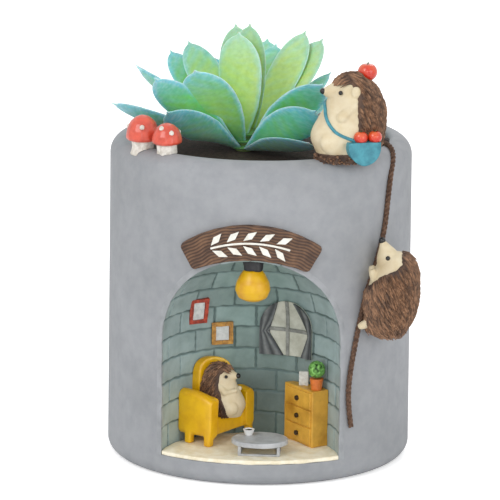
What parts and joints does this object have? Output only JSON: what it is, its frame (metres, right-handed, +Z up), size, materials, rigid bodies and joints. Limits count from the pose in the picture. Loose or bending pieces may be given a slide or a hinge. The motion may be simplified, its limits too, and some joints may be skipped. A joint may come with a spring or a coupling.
{
  "type": "animal shaped planter",
  "caption": "Round cast pot with a domed brick alcove holding a small furnished room, animal figures on its rim and side, and a lift-out succulent.",
  "frame": {"origin": "centre of the pot's flat underside", "axes": "+Z up, -Y out of the alcove towards the viewer, +X to the viewer's right"},
  "size_m": [0.1141, 0.1126, 0.1579],
  "materials": {
    "cast_grey": "matt, lightly mottled",
    "brick_paint": "matt paint over cast brickwork",
    "floor_cream": "satin paint",
    "sign_brown": "satin paint",
    "sprig_cream": "satin paint",
    "soil_dark": "crumbly bark mix",
    "gravel_mix": "matt",
    "lamp_yellow": "satin paint",
    "frame_red": "satin paint",
    "frame_gold": "satin paint",
    "card_white": "matt paint",
    "pane_white": "satin paint",
    "window_bar_grey": "satin paint",
    "curtain_grey": "satin paint",
    "chair_yellow": "satin paint",
    "chest_ochre": "satin paint",
    "knob_brown": "satin paint",
    "book_red": "satin paint",
    "bush_pot_orange": "satin paint",
    "bush_green": "matt paint",
    "table_grey": "satin paint",
    "cup_white": "gloss paint",
    "mushroom_white": "satin paint",
    "mushroom_red": "satin paint",
    "fur_cream": "matt paint",
    "quill_brown": "matt paint, combed quills",
    "eye_black": "gloss paint",
    "satchel_teal": "satin paint",
    "apple_red": "gloss paint",
    "rope_brown": "matt, twisted strands",
    "leaf_green": "waxy leaf",
    "stem_green": "plant stem"
  },
  "bodies": {
    "pot": {"pot_body": "cast_grey", "alcove_wall": "brick_paint", "alcove_floor": "floor_cream", "sign_board": "sign_brown", "sign_sprig": "sprig_cream", "soil_fill": "soil_dark", "gravel": "gravel_mix", "lamp_shade": "lamp_yellow", "lamp_cap": "lamp_yellow", "red_frame": "frame_red", "red_frame_card": "card_white", "gold_frame": "frame_gold", "gold_frame_card": "card_white", "window_pane": "pane_white", "window_frame": "window_bar_grey", "window_curtains": "curtain_grey", "armchair": "chair_yellow", "chest_carcass": "chest_ochre", "chest_drawers": "chest_ochre", "chest_knobs": "knob_brown", "book": "book_red", "bush_pot": "bush_pot_orange", "bush": "bush_green", "table_top": "table_grey", "table_legs": "table_grey", "cup": "cup_white", "mushroom_stems": "mushroom_white", "mushroom_caps": "mushroom_red", "mushroom_spots": "mushroom_white", "rim_hedgehog_body": "fur_cream", "rim_hedgehog_quills": "quill_brown", "rim_hedgehog_face": "eye_black", "satchel": "satchel_teal", "satchel_strap": "satchel_teal", "satchel_apples": "apple_red", "head_apple": "apple_red", "rope": "rope_brown", "rope_knot": "rope_brown", "climber_body": "fur_cream", "climber_quills": "quill_brown", "climber_face": "eye_black", "sitter_body": "fur_cream", "sitter_quills": "quill_brown", "sitter_face": "eye_black"},
    "plant": {"plant_stem": "stem_green", "leaf_whorl_1": "leaf_green", "leaf_whorl_2": "leaf_green", "leaf_whorl_3": "leaf_green"}
  },
  "joints": [
    {"name": "plant_lift", "type": "slide", "parent": "pot", "child": "plant", "axis": [0, 0, 1], "range_m": [0, 0.06]}
  ]
}
